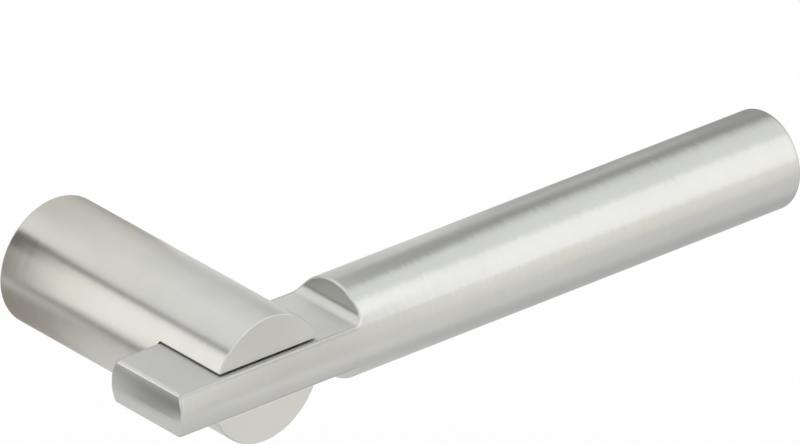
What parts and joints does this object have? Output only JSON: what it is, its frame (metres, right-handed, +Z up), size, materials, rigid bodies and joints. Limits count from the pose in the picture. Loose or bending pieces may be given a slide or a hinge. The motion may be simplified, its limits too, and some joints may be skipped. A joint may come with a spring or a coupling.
{
  "type": "lever door handle",
  "caption": "Lever door handle in solid brushed steel: a round neck forked at the front, and a round lever bar whose flat tongue passes through the fork.",
  "frame": {"origin": "centre of the neck's door-side face, on the spindle's axis", "axes": "+Y points out of the neck towards the door, -Y into the room; +X runs along the lever to its free end; +Z is up"},
  "size_m": [0.1566, 0.063, 0.026],
  "materials": {
    "neck_steel": "fine satin, brushed round the neck",
    "bar_steel": "fine satin, brushed round the bar",
    "screw_steel": "plain machined",
    "insert_steel": "plain machined"
  },
  "bodies": {
    "root": {"neck": "neck_steel", "lever_bar": "bar_steel", "tie_screw": "screw_steel", "lock_washer": "screw_steel", "spindle_insert": "insert_steel", "grub_screw": "screw_steel"}
  },
  "joints": []
}
